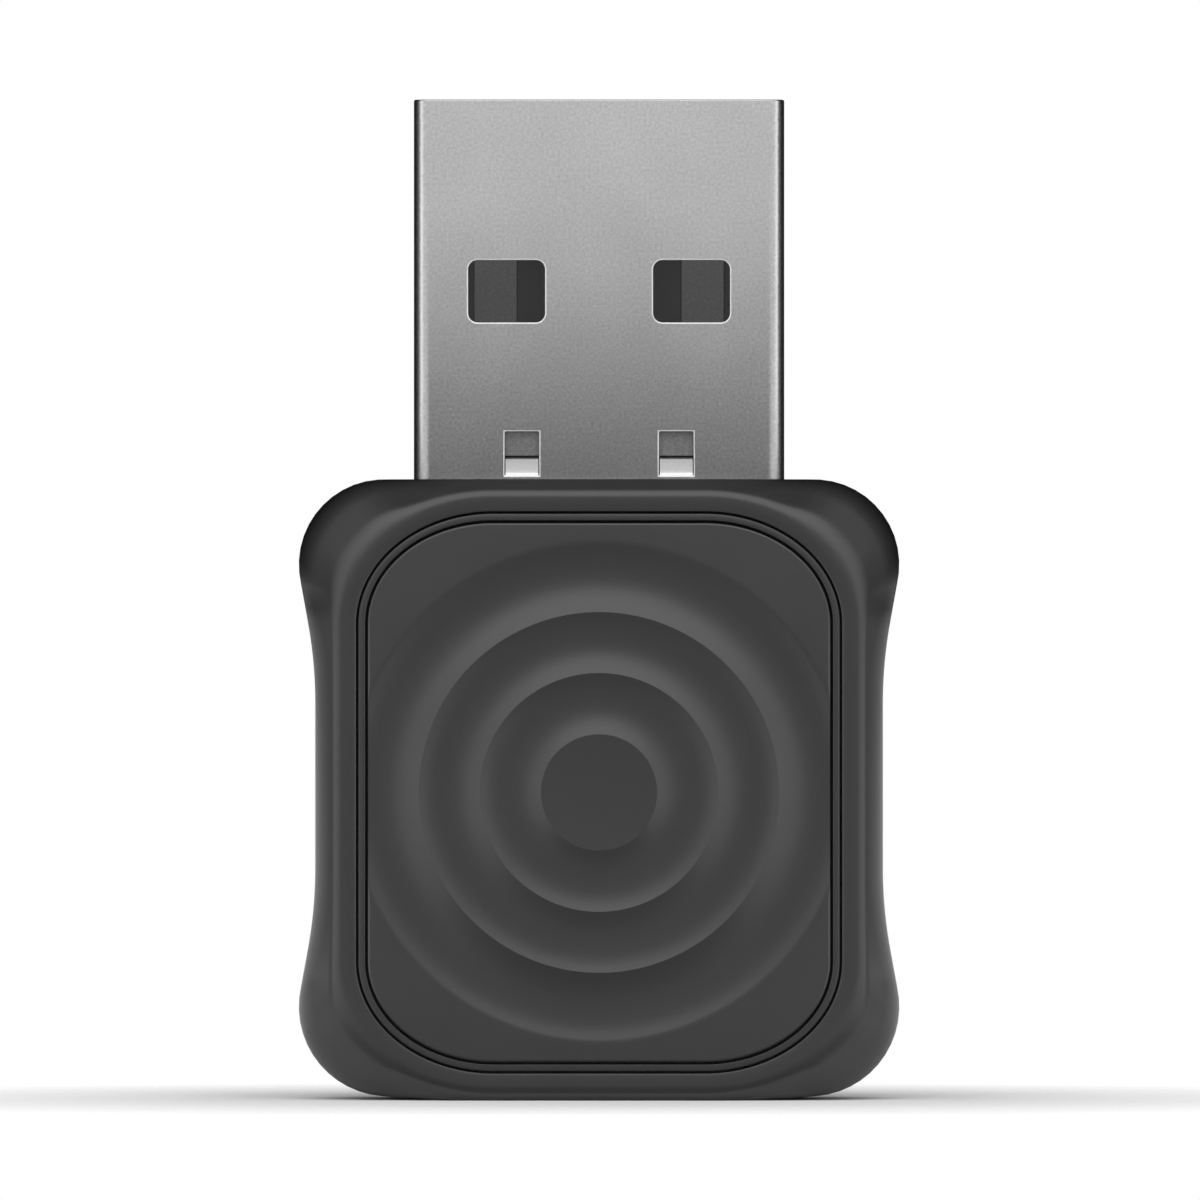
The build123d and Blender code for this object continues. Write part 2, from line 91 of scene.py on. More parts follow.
def closeUp(angle=40):
    # merges doubles, turns every face outwards and smooths what isn't a sharp edge
    bpy.ops.mesh.select_all(action="SELECT")
    bpy.ops.mesh.remove_doubles(threshold=0.0004 * mm)
    bpy.ops.mesh.normals_make_consistent(inside=False)
    bpy.ops.object.mode_set(mode="OBJECT")
    bpy.ops.object.shade_smooth_by_angle(angle=radians(angle))


def addBox(name, low, high):
    low, high = Vector(low) * mm, Vector(high) * mm
    dropSelection()
    bpy.ops.mesh.primitive_cube_add(size=1, location=(low + high) / 2, scale=high - low)
    return settle(bpy.context.object, name)


def cutWith(piece, cutter, operation="DIFFERENCE"):
    makeActive(piece)
    boolean = piece.modifiers.new("cut", "BOOLEAN")
    boolean.operation = operation
    boolean.solver = "EXACT"
    boolean.object = cutter
    bpy.ops.object.modifier_apply(modifier=boolean.name)
    bpy.data.objects.remove(cutter)


def finishEdges(piece, width, segments=2, angle=40):
    # a small rounded edge wherever two faces meet sharply
    makeActive(piece)
    bevel = piece.modifiers.new("edges", "BEVEL")
    bevel.width = width * mm
    bevel.segments = segments
    bevel.limit_method = "ANGLE"
    bevel.angle_limit = radians(angle)
    bevel.harden_normals = False
    bpy.ops.object.modifier_apply(modifier=bevel.name)


def evenNormals(piece):
    # keeps flats flat beside their rounded edges
    makeActive(piece)
    weighted = piece.modifiers.new("even", "WEIGHTED_NORMAL")
    weighted.keep_sharp = True
    bpy.ops.object.modifier_apply(modifier=weighted.name)


def startVertex(name, place):
    # a mesh of one vertex, selected in edit mode, to extrude and spin from
    dropSelection()
    bpy.ops.mesh.primitive_plane_add(size=mm, location=Vector(place) * mm)
    piece = settle(bpy.context.object, name)
    editPiece(piece)
    bpy.ops.mesh.select_all(action="SELECT")
    bpy.ops.mesh.merge(type="CENTER")
    bpy.ops.mesh.select_mode(type="VERT")
    bpy.ops.mesh.select_all(action="SELECT")
    return piece


def extrudeTo(x, y, z):
    # draws on from the selected vertex by so many millimetres
    bpy.ops.mesh.extrude_vertices_move(TRANSFORM_OT_translate={"value": (x * mm, y * mm, z * mm)})


def joinTo(piece, others):
    makeActive(piece)
    for other in others:
        other.select_set(True)
    bpy.ops.object.join()
    return piece


body = {
    "height": 20.1,
    "earHalfWidth": 9.73,
    "waistHalfWidth": 9.19,
    "topRadius": 2.75,
    "bottomRadius": 2.9,
    "flankAngle": 10.5,        # degrees
    "waistBlend": 14.5,
    "footHalfWidth": 4.2,
    "footBow": 35.0,
    "halfDepth": 4.0,
    "wall": 1.0,
    "frontRoof": 2.1,          # roof of the cavity in each half
    "rearRoof": 3.0,
    "partingEdge": 0.05,
}


class Pencil:
    # draws a chain of straight runs and tangent arcs in the front view, by extruding and spinning one vertex
    def __init__(self, name, x, z):
        self.line = startVertex(name, (x, 0, z))
        self.place, self.heading = Vector((x, 0, z)), 0.0    # heading 0 runs along +X, and 90 along +Z

    def run(self, length, steps=1):
        along = Vector((cos(radians(self.heading)), 0, sin(radians(self.heading))))
        for _ in range(steps):
            extrudeTo(*(along * length / steps))
        self.place = self.place + along * length

    def arc(self, radius, turn, steps):
        left = Vector((-sin(radians(self.heading)), 0, cos(radians(self.heading))))
        center = self.place + left * radius * (1 if turn > 0 else -1)
        bpy.ops.mesh.spin(steps=steps, angle=radians(turn), center=center * mm, axis=(0, 1, 0))
        arm = self.place - center
        a = radians(turn)
        self.place = center + Vector((arm.x * cos(a) - arm.z * sin(a), 0, arm.x * sin(a) + arm.z * cos(a)))
        self.heading += turn

    def points(self):
        # walks the chain from its first vertex to its last
        bpy.ops.object.mode_set(mode="OBJECT")
        verts = self.line.data.vertices
        nextTo = {v.index: [] for v in verts}
        for edge in self.line.data.edges:
            a, b = edge.vertices
            nextTo[a].append(b)
            nextTo[b].append(a)
        ends = [i for i in nextTo if len(nextTo[i]) == 1]
        here, last, found = min(ends, key=lambda i: verts[i].co.z), None, []
        while here is not None:
            found.append((verts[here].co.x / mm, verts[here].co.z / mm))
            onward = [i for i in nextTo[here] if i != last]
            here, last = (onward[0] if onward else None), here
        bpy.data.objects.remove(self.line)
        return np.array(found)


def flankRun(radius):
    lean = radians(body["flankAngle"])
    byArcs = (radius + body["waistBlend"]) * (1 - cos(lean))
    return (body["earHalfWidth"] - body["waistHalfWidth"] - byArcs) / sin(lean)


def drawOutline():
    # the right half, from the middle of the foot round to the middle of the top
    low, high, lean = body["bottomRadius"], body["topRadius"], body["flankAngle"]
    reach = body["earHalfWidth"] - low - body["footHalfWidth"]
    bow = degrees(asin(reach / (body["footBow"] - low)))
    pencil = Pencil("outline", 0, 0)
    pencil.run(body["footHalfWidth"])
    pencil.arc(body["footBow"], bow, 12)
    pencil.arc(low, 90 - bow, 64)
    pencil.arc(low, lean, 10)
    pencil.run(flankRun(low), 4)
    pencil.arc(body["waistBlend"], -lean, 16)
    # the waist runs up to where the upper blend starts
    sweep = radians(lean)
    upperRise = (body["waistBlend"] + high) * sin(sweep) + flankRun(high) * cos(sweep)
    pencil.run(body["height"] - high - upperRise - pencil.place.z, 4)
    pencil.arc(body["waistBlend"], -lean, 16)
    pencil.run(flankRun(high), 4)
    pencil.arc(high, lean, 10)
    pencil.arc(high, 90, 64)
    pencil.run(pencil.place.x)
    return pencil.points()


outline = drawOutline()
print("outline drawn", len(outline), "points, top at", outline[-1])


def outlineHit(x, z, nx, nz):
    # where a ray from inside the body meets its outline, worked out on the right half
    side = -1 if x < 0 else 1
    x, nx = abs(x), abs(nx)
    start, run = outline[:-1], outline[1:] - outline[:-1]
    cross = nx * run[:, 1] - nz * run[:, 0]
    cross[abs(cross) < 1e-12] = 1e-12
    away = ((start[:, 0] - x) * run[:, 1] - (start[:, 1] - z) * run[:, 0]) / cross
    share = ((start[:, 0] - x) * nz - (start[:, 1] - z) * nx) / cross
    reach = away[(abs(share - 0.5) <= 0.501) & (away > 0)].min()
    return side * (x + nx * reach), z + nz * reach


panel = {
    "halfWidth": 7.47,
    "halfHeight": 8.70,
    "centerZ": 9.97,
    "cornerWidth": 4.05,       # the corners are quarter ellipses
    "cornerHeight": 3.25,
    "cornerSteps": 26,
    "sideCuts": 33,
    "endCuts": 21,
}


def panelShape(side, top=None, bottom=None):
    # the plate's outline grown by so much at its sides, top and bottom
    top = side if top is None else top
    bottom = side if bottom is None else bottom
    ends = (top + bottom) / 2
    return {
        "w": panel["halfWidth"] + side,
        "h": panel["halfHeight"] + ends,
        "z": panel["centerZ"] + (top - bottom) / 2,
        "cw": panel["cornerWidth"] + side,
        "ch": panel["cornerHeight"] + ends,
    }


plainShape = panelShape(0)


def reshape(x, z, shape):
    # carries a point of the plain outline to the same point of another one
    def along(value, half, corner, newHalf, newCorner):
        straight, size = half - corner, abs(value)
        if size <= straight:
            moved = size * (newHalf - newCorner) / straight
        else:
            moved = newHalf - newCorner + (size - straight) * newCorner / corner
        return moved if value >= 0 else -moved
    newX = along(x, plainShape["w"], plainShape["cw"], shape["w"], shape["cw"])
    newZ = along(z - plainShape["z"], plainShape["h"], plainShape["ch"], shape["h"], shape["ch"])
    return newX, shape["z"] + newZ


def panelNormal(x, z):
    # outward direction at a point of the plain outline
    across = max(0.0, abs(x) - (plainShape["w"] - plainShape["cw"])) / plainShape["cw"] ** 2
    up = max(0.0, abs(z - plainShape["z"]) - (plainShape["h"] - plainShape["ch"])) / plainShape["ch"] ** 2
    size = sqrt(across ** 2 + up ** 2)
    return (across if x >= 0 else -across) / size, (up if z >= plainShape["z"] else -up) / size


def drawPanel(name, facing, depth):
    # a loop with the plate's plain outline: a circle stretched, its quarters moved apart and the gaps divided
    steps = 4 * panel["cornerSteps"]
    dropSelection()
    bpy.ops.mesh.primitive_circle_add(
        vertices=steps, radius=mm, fill_type="NOTHING", rotation=(pi / 2, pi / steps, 0),
        location=(0, facing * depth * mm, panel["centerZ"] * mm))
    piece = settle(bpy.context.object, name)
    editPiece(piece)
    middle = Vector((0, facing * depth, panel["centerZ"]))
    apartX = panel["halfWidth"] - panel["cornerWidth"]
    apartZ = panel["halfHeight"] - panel["cornerHeight"]
    bpy.ops.mesh.select_all(action="SELECT")
    bpy.ops.transform.resize(value=(panel["cornerWidth"], 1, panel["cornerHeight"]), center_override=middle * mm)
    for side in (-1, 1):
        pick("VERT", lambda v: v.x * side > 0)
        bpy.ops.transform.translate(value=(side * apartX * mm, 0, 0))
        pick("VERT", lambda v: (v.z - panel["centerZ"]) * side > 0)
        bpy.ops.transform.translate(value=(0, 0, side * apartZ * mm))
    pick("EDGE", lambda m, along: abs(along.z) > apartZ)
    bpy.ops.mesh.subdivide(number_cuts=panel["sideCuts"])
    pick("EDGE", lambda m, along: abs(along.x) > apartX)
    bpy.ops.mesh.subdivide(number_cuts=panel["endCuts"])
    return piece


class Sweep:
    # grows a piece loop by loop outwards from a panel, each loop placed by a rule
    def __init__(self, name, facing, shape, depth, hollow=False):
        self.facing = facing
        self.piece = drawPanel(name, facing, depth)
        work = bmesh.from_edit_mesh(self.piece.data)
        self.plain = {tuple(v.co): (v.co.x / mm, v.co.z / mm) for v in work.verts}
        bpy.ops.mesh.select_mode(type="EDGE")
        bpy.ops.mesh.select_all(action="SELECT")
        self.place(lambda x, z: (*reshape(x, z, shape), depth))
        if not hollow:
            bpy.ops.mesh.edge_face_add()

    def place(self, rule):
        # moves the selected loop to where the rule puts each point of the plain outline
        work = bmesh.from_edit_mesh(self.piece.data)
        moved = {}
        for v in work.verts:
            if v.select:
                mark = self.plain[tuple(v.co)]
                x, z, depth = rule(*mark)
                v.co = Vector((x, self.facing * depth, z)) * mm
                moved[tuple(v.co)] = mark
        self.plain = moved
        bmesh.update_edit_mesh(self.piece.data)

    def loop(self, rule):
        bpy.ops.mesh.extrude_edges_move()
        self.place(rule)


housing = {
    "flat": (0.88, 0.84, 0.79),       # flat of the frame: growth at the sides, top and bottom
    "opening": 0.395,
    "recessFloor": 2.9,
    "lip": 0.055,                     # flattened edge of the opening
    "bandSteps": 40,
    "mouthFit": 0.04,
    # how the face falls away between the flat and the outline, by the distance between them
    "reach": (0.50, 0.60, 0.84, 1.30, 2.00),
    "roll": (0.33, 0.35, 0.40, 0.50, 1.05),       # radius beside the flat
    "tilt": (62, 62, 47, 55, 41),                 # slope that follows it, in degrees
    "rim": (0.50, 0.50, 1.90, 1.90, 1.90),        # radius beside the outline
}


def fallAt(reach, share):
    # how far below the flat the face lies, at a share of the way out to the outline
    roll, tilt, rim = (np.interp(reach, housing["reach"], housing[name]) for name in ("roll", "tilt", "rim"))
    lean = radians(tilt)
    taken = roll * sin(lean) + rim * (1 - sin(lean))
    if taken > reach:
        roll, rim = roll * reach / taken, rim * reach / taken
    beyond, left = reach * share, reach * (1 - share)
    rollEnd, rimStart = roll * sin(lean), rim * (1 - sin(lean))
    if beyond <= rollEnd:
        return roll - sqrt(roll ** 2 - beyond ** 2)
    fall = roll * (1 - cos(lean)) + (min(beyond, reach - rimStart) - rollEnd) * tan(lean)
    if left < rimStart:
        fall += rim * cos(lean) - sqrt(max(0.0, rim ** 2 - (rim - left) ** 2))
    return fall


def housingHalf(name, facing, open):
    half, lip = body["halfDepth"], housing["lip"]
    flat = panelShape(*housing["flat"])
    if open:
        shape = panelShape(housing["opening"])
        sweep = Sweep(name, facing, shape, housing["recessFloor"])
        sweep.loop(lambda x, z: (*reshape(x, z, shape), half - lip * 0.6))
        sweep.loop(lambda x, z: (*reshape(x, z, panelShape(housing["opening"] + lip)), half))
        sweep.loop(lambda x, z: (*reshape(x, z, flat), half))
    else:
        sweep = Sweep(name, facing, flat, half)

    def rayOf(x, z):
        # from the edge of the flat straight out to the outline
        px, pz = reshape(x, z, flat)
        nx, nz = panelNormal(x, z)
        hx, hz = outlineHit(px, pz, nx, nz)
        return px, pz, nx, nz, hx, hz
    # the face beside the flat: a rounded shoulder, the slope of the ears and their round rim
    for step in range(1, housing["bandSteps"] + 1):
        share = (1 - cos(step / housing["bandSteps"] * pi)) / 2    # closer together at both ends

        def facePoint(x, z):
            px, pz, nx, nz, hx, hz = rayOf(x, z)
            reach = sqrt((hx - px) ** 2 + (hz - pz) ** 2)
            return px + (hx - px) * share, pz + (hz - pz) * share, half - fallAt(reach, share)
        sweep.loop(facePoint)
    edge = body["partingEdge"]

    def outlinePoint(x, z, inwards, depth):
        px, pz, nx, nz, hx, hz = rayOf(x, z)
        return hx - nx * inwards, hz - nz * inwards, depth
    sweep.loop(lambda x, z: outlinePoint(x, z, 0, edge))
    sweep.loop(lambda x, z: outlinePoint(x, z, edge, 0))
    sweep.loop(lambda x, z: outlinePoint(x, z, body["wall"], 0))
    sweep.loop(lambda x, z: outlinePoint(x, z, body["wall"], body["frontRoof" if open else "rearRoof"]))
    bpy.ops.mesh.edge_face_add()
    closeUp()
    return sweep.piece


def plugMouth(low):
    # the space that the plug takes through the end wall
    fit = housing["mouthFit"]
    halfX, halfY = plug["width"] / 2 + fit, plug["thickness"] / 2 + fit
    cutter = addBox("mouthCutter", (-halfX, -halfY, low), (halfX, halfY, body["height"] + 1))
    roundUprights(cutter, plug["corner"] + fit)
    return cutter


def roundUprights(piece, radius, steps=7):
    editPiece(piece)
    pick("EDGE", lambda m, along: abs(along.z) > 1 and abs(along.x) + abs(along.y) < 0.01)
    bpy.ops.mesh.bevel(offset=radius * mm, segments=steps, affect="EDGES")
    bpy.ops.object.mode_set(mode="OBJECT")


plug = {
    "width": 12.0,
    "thickness": 4.5,
    "corner": 0.55,
    "sheet": 0.3,
    "rootZ": 17.3,
    "tipZ": 32.4,
    "windowX": 2.995,
    "windowZ": 26.19,          # middle of the shell's windows
    "windowWidth": 2.49,
    "windowHeight": 2.02,
    "windowCorner": 0.3,
    "lockX": 2.5,
    "lockZ": 20.22,            # lower edge of the lock cut-outs
    "lockWidth": 1.12,
    "lockHeight": 1.43,
    "tabWidth": 1.06,
    "tabReach": 0.6,           # height of the bent tab in the front view
    "tabAngle": 38,            # degrees it leans inwards
    "edge": 0.055,
    "seam": 0.06,
    "seamReach": 1.4,
    "seamFlare": 0.35,
    "seamZ": (24.6, 26.2),
    "legZ": 15.3,
    "legY": (-0.35, 1.45),
}

plate = {
    "crests": (1.88, 3.86, 5.83, 8.07),
    "dishSag": 0.12,
    "scallopSag": 0.24,
    "outerSag": 0.29,
    "scallopSteps": 12,
    "turnSteps": 176,
    "back": 2.95,
    "chamfer": 0.055,
    "edge": 0.02,
}

ring = {
    "inner": 0.095,
    "outer": 0.31,
    "edge": 0.03,
}


def hollowRun(start, end, sag, steps, fading=False):
    # points along one hollow of the turned face, from crest to crest, or running softly out into the flat
    found = []
    last = 0.95 if fading else 1.0
    for step in range(1, steps + 1):
        share = last * step / steps
        found.append((start + (end - start) * share, sag * 4 * share * (1 - share)))
    if fading:
        left, slope = last * (1 - last) * 4, 8 * last - 4
        for step in range(1, 5):
            share = last + 2 * left / slope * step / 4
            found.append((start + (end - start) * share, sag * left * (1 - step / 4) ** 2))
    return found


def makeFacePlate():
    face, first = body["halfDepth"], plate["crests"][0]
    steps = plate["scallopSteps"]
    points = [(r, d) for r, d in hollowRun(-first, first, plate["dishSag"], 2 * steps) if r > 1e-6]
    for inner, outer in zip(plate["crests"], plate["crests"][1:]):
        last = outer == plate["crests"][-1]
        points += hollowRun(inner, outer, plate["outerSag"] if last else plate["scallopSag"], steps, fading=last)
    points.append((14.0, 0.0))
    center = Vector((0, 0, panel["centerZ"]))
    disc = startVertex("face_plate_skin", center + Vector((0, plate["dishSag"] - face, 0)))
    lastR, lastSag = 0.0, plate["dishSag"]
    for r, sag in points:
        extrudeTo(r - lastR, sag - lastSag, 0)
        lastR, lastSag = r, sag
    bpy.ops.mesh.select_all(action="SELECT")
    bpy.ops.mesh.spin(steps=plate["turnSteps"], angle=2 * pi, center=center * mm, axis=(0, 1, 0))
    bpy.ops.mesh.select_all(action="SELECT")
    bpy.ops.mesh.remove_doubles(threshold=0.001 * mm)
    bpy.ops.mesh.select_mode(type="EDGE")
    bpy.ops.mesh.select_all(action="DESELECT")
    bpy.ops.mesh.select_non_manifold(extend=False)
    bpy.ops.mesh.extrude_edges_move(TRANSFORM_OT_translate={"value": (0, (face - plate["back"]) * mm, 0)})
    bpy.ops.mesh.edge_face_add()
    closeUp(20)
    # cut to the plate's outline
    cutter = Sweep("plateCutter", front, plainShape, plate["back"] - 1)
    cut = plate["chamfer"]
    cutter.loop(lambda x, z: (x, z, face - cut * 0.6))
    cutter.loop(lambda x, z: (*reshape(x, z, panelShape(-2 * cut)), face + cut * 0.6))
    bpy.ops.mesh.edge_face_add()
    closeUp()
    cutWith(disc, cutter.piece, "INTERSECT")
    finishEdges(disc, plate["edge"], 2, 40)
    makeActive(disc)
    bpy.ops.object.shade_smooth_by_angle(angle=radians(9))
    evenNormals(disc)
    return disc


def makeTrimRing():
    face, floor, edge = body["halfDepth"], housing["recessFloor"], ring["edge"]
    rules = [(ring["inner"], face - edge)]
    for step in range(1, 4):
        turn = step / 3 * pi / 2
        rules.append((ring["inner"] + edge * (1 - cos(turn)), face - edge * (1 - sin(turn))))
    for step in range(4):
        turn = step / 3 * pi / 2
        rules.append((ring["outer"] - edge * (1 - sin(turn)), face - edge * (1 - cos(turn))))
    rules += [(ring["outer"], floor), (ring["inner"], floor)]
    sweep = Sweep("trim_ring_band", front, panelShape(ring["inner"]), floor, hollow=True)
    for grow, depth in rules:
        grown = panelShape(grow)
        sweep.loop(lambda x, z: (*reshape(x, z, grown), depth))
    closeUp()
    evenNormals(sweep.piece)
    return sweep.piece


def makeLockTab(x):
    # a tongue of the shell's sheet, bent inwards over a short curve
    half, outer, sheet = plug["tabWidth"] / 2, -plug["thickness"] / 2, plug["sheet"]
    tab = addBox("lockTab", (x - half, outer, plug["lockZ"] - sheet), (x + half, outer + sheet, plug["lockZ"] - 0.1))
    editPiece(tab)
    pick("FACE", lambda m, n: n.z > 0.9)
    bend = Vector((x, outer + sheet + 0.08, plug["lockZ"] - 0.1))
    lean = radians(plug["tabAngle"])
    bpy.ops.mesh.spin(steps=6, angle=lean, center=bend * mm, axis=(1, 0, 0))
    reach = plug["tabReach"] + 0.1 - (sheet + 0.08) * sin(lean)
    bpy.ops.mesh.extrude_region_move(TRANSFORM_OT_translate={"value": (0, reach * tan(lean) * mm, reach * mm)})
    closeUp(30)
    return tab


def makeSeamCutter():
    # a thin upright ribbon that follows the dovetailed closing line on the back
    low, high = plug["seamZ"]
    reach, flare = plug["seamReach"], plug["seamFlare"]
    stops = [(0, low), (reach, low - flare), (reach, high + flare), (0, high), (0, plug["tipZ"] + 1)]
    start = Vector((0, plug["thickness"] / 2 - plug["sheet"] - 0.1, plug["rootZ"] - 1))
    ribbon = startVertex("seamCutter", start)
    here = (start.x, start.z)
    for x, z in stops:
        extrudeTo(x - here[0], 0, z - here[1])
        here = (x, z)
    bpy.ops.mesh.select_mode(type="EDGE")
    bpy.ops.mesh.select_all(action="SELECT")
    bpy.ops.mesh.extrude_edges_move(TRANSFORM_OT_translate={"value": (0, 1.0 * mm, 0)})
    bpy.ops.object.mode_set(mode="OBJECT")
    wall = ribbon.modifiers.new("wall", "SOLIDIFY")
    wall.thickness = plug["seam"] * mm
    wall.offset = 0
    wall.use_even_offset = True
    makeActive(ribbon)
    bpy.ops.object.modifier_apply(modifier=wall.name)
    return ribbon


def makePlugShell():
    halfX, halfY = plug["width"] / 2, plug["thickness"] / 2
    shell = addBox("plug_shell_sheet", (-halfX, -halfY, plug["rootZ"]), (halfX, halfY, plug["tipZ"]))
    roundUprights(shell, plug["corner"])
    editPiece(shell)
    pick("FACE", lambda m, n: abs(n.z) > 0.9)
    bpy.ops.mesh.delete(type="FACE")
    bpy.ops.object.mode_set(mode="OBJECT")
    wall = shell.modifiers.new("wall", "SOLIDIFY")
    wall.thickness = plug["sheet"] * mm
    wall.offset = -1
    wall.use_even_offset = True
    makeActive(shell)
    bpy.ops.object.modifier_apply(modifier=wall.name)
    for side in (-1, 1):
        x, z = side * plug["windowX"], plug["windowZ"]
        w, h = plug["windowWidth"] / 2, plug["windowHeight"] / 2
        cutter = addBox("windowCutter", (x - w, -4, z - h), (x + w, 4, z + h))
        editPiece(cutter)
        pick("EDGE", lambda m, along: abs(along.y) > 1)
        bpy.ops.mesh.bevel(offset=plug["windowCorner"] * mm, segments=6, affect="EDGES")
        bpy.ops.object.mode_set(mode="OBJECT")
        cutWith(shell, cutter)
        x, half = side * plug["lockX"], plug["lockWidth"] / 2
        top = plug["lockZ"] + plug["lockHeight"]
        cutWith(shell, addBox("lockCutter", (x - half, -4, plug["lockZ"]), (x + half, 0, top)))
    cutWith(shell, makeSeamCutter())
    finishEdges(shell, plug["edge"], 2, 50)
    legs = []
    for side in (-1, 1):
        outer, inner = sorted((side * halfX, side * (halfX - plug["sheet"])))
        legs.append(addBox("leg", (outer, plug["legY"][0], plug["legZ"]), (inner, plug["legY"][1], plug["rootZ"])))
    tabs = [makeLockTab(side * plug["lockX"]) for side in (-1, 1)]
    joinTo(shell, tabs + legs)
    makeActive(shell)
    bpy.ops.object.shade_smooth_by_angle(angle=radians(30))
    evenNormals(shell)
    return shell


frontHalf = housingHalf("front_cover_moulding", front, True)
rearHalf = housingHalf("rear_cover_moulding", back, False)
for half in (frontHalf, rearHalf):
    cutWith(half, plugMouth(plug["rootZ"] - housing["mouthFit"]))
    makeActive(half)
    bpy.ops.object.shade_smooth_by_angle(angle=radians(35))
    evenNormals(half)
print("housing halves made")
facePlate = makeFacePlate()
trimRing = makeTrimRing()
print("plate and ring made")
plugShell = makePlugShell()
print("plug shell made")

standsFor = {
    frontHalf: ("front_cover", "housing"),
    rearHalf: ("rear_cover", "housing"),
    facePlate: ("face_plate", "face_plate"),
    trimRing: ("trim_ring", "trim_ring"),
    plugShell: ("plug_shell", "plug_shell"),
}
for piece, (node, slotName) in standsFor.items():
    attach(piece, "root")
    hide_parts(node)


class Shade:
    # a value in a material's node tree, with arithmetic
    def __init__(self, tree, socket):
        self.tree = tree
        self.socket = socket

    def node(self, kind, settings, sockets, output=0):
        # any node: its settings first, then its sockets
        made = self.tree.nodes.new(kind)
        for key, value in settings.items():
            setattr(made, key, value)
        for key, value in sockets.items():
            if isinstance(value, Shade):
                self.tree.links.new(value.socket, made.inputs[key])
            else:
                made.inputs[key].default_value = value
        return Shade(self.tree, made.outputs[output])

    def maths(self, operation, first, second):
        return self.node("ShaderNodeMath", {"operation": operation}, {0: first, 1: second})

    def __add__(self, other):
        return self.maths("ADD", self, other)

    def __sub__(self, other):
        return self.maths("SUBTRACT", self, other)

    def __rsub__(self, other):
        return self.maths("SUBTRACT", other, self)

    def __mul__(self, other):
        return self.maths("MULTIPLY", self, other)

    def over(self, other):
        return self.maths("GREATER_THAN", self, other)

    def between(self, low, high):
        return self.over(low) * (1 - self.over(high))

    def noise(self, size, detail=2.0, roughness=0.5):
        # speckle of about this size in millimetres, from 0 to 1
        scale = {"Vector": self, "Scale": 1 / (size * mm), "Detail": detail, "Roughness": roughness}
        return self.node("ShaderNodeTexNoise", {}, scale)

    def spread(self, low, high):
        # 0 to 1 turned into low to high
        return self * (high - low) + low

    def tint(self, dark, light):
        # a colour between two greys, colours or shades
        def full(colour):
            if isinstance(colour, Shade):
                return colour
            return (colour, colour, colour, 1) if isinstance(colour, float) else (*colour, 1)
        return self.node("ShaderNodeMix", {"data_type": "RGBA"}, {0: self, 6: full(dark), 7: full(light)}, 2)

    def bump(self, distance, strength=1.0):
        return self.node("ShaderNodeBump", {}, {"Height": self, "Distance": distance * mm, "Strength": strength})

    def split(self):
        parts = self.node("ShaderNodeSeparateXYZ", {}, {"Vector": self}).socket.node.outputs
        return [Shade(self.tree, part) for part in parts]


def startMaterial(name):
    # a new material and its object coordinates
    material = bpy.data.materials.new(name)
    material.use_nodes = True
    tree = material.node_tree
    return material, Shade(tree, tree.nodes.new("ShaderNodeTexCoord").outputs["Object"])


def setSurface(material, sockets):
    shader = material.node_tree.nodes["Principled BSDF"]
    for name, value in sockets.items():
        if isinstance(value, Shade):
            material.node_tree.links.new(value.socket, shader.inputs[name])
        else:
            shader.inputs[name].default_value = value
    return material


plastic = {
    "housingDark": 0.020,
    "housingLight": 0.026,
    # tone of the painted shade on the housing's flanks
    "flank": 0.006,
    "flankDepth": 1.8,         # how far from the parting plane the painted shade of the flanks ends and the face's tone begins
    "faceDepth": 3.3,
    "plateDark": 0.021,
    "plateLight": 0.027,
    "ringDark": 0.017,
    "ringLight": 0.022,
    "roughness": 0.39,
    "roughnessSpread": 0.04,
    "shine": 0.68,
    "driftSize": 5.0,
    "driftShare": 0.7,
    "speckleSize": 0.09,
    "bump": 0.0025,
    "bumpStrength": 0.5,
}


def satinPlastic(name, dark, light, flank=None):
    # moulded plastic: slow drift of tone, fine speckle in the gloss, and painted shade deepening the flanks if a
    # tone is given
    material, place = startMaterial(name)
    drift = place.noise(plastic["driftSize"], 2.0)
    speckle = place.noise(plastic["speckleSize"], 3.0)
    share, spread = plastic["driftShare"], plastic["roughnessSpread"]
    colour = (drift * share + speckle * (1 - share)).tint(dark, light)
    if flank:
        y = place.split()[1]
        ends = {1: plastic["flankDepth"] * mm, 2: plastic["faceDepth"] * mm}
        depth = y.maths("MAXIMUM", y, y * -1)
        face = y.node("ShaderNodeMapRange", {"interpolation_type": "SMOOTHSTEP"}, {0: depth, **ends})
        # painted shade: the flanks darker than the face, deepest at the parting plane
        colour = face.tint(speckle.tint(flank * 0.8, flank), colour)
    return setSurface(material, {
        "Base Color": colour,
        "Roughness": speckle.spread(plastic["roughness"] - spread, plastic["roughness"] + spread),
        "Specular IOR Level": plastic["shine"],
        "Normal": speckle.bump(plastic["bump"], plastic["bumpStrength"]),
    })


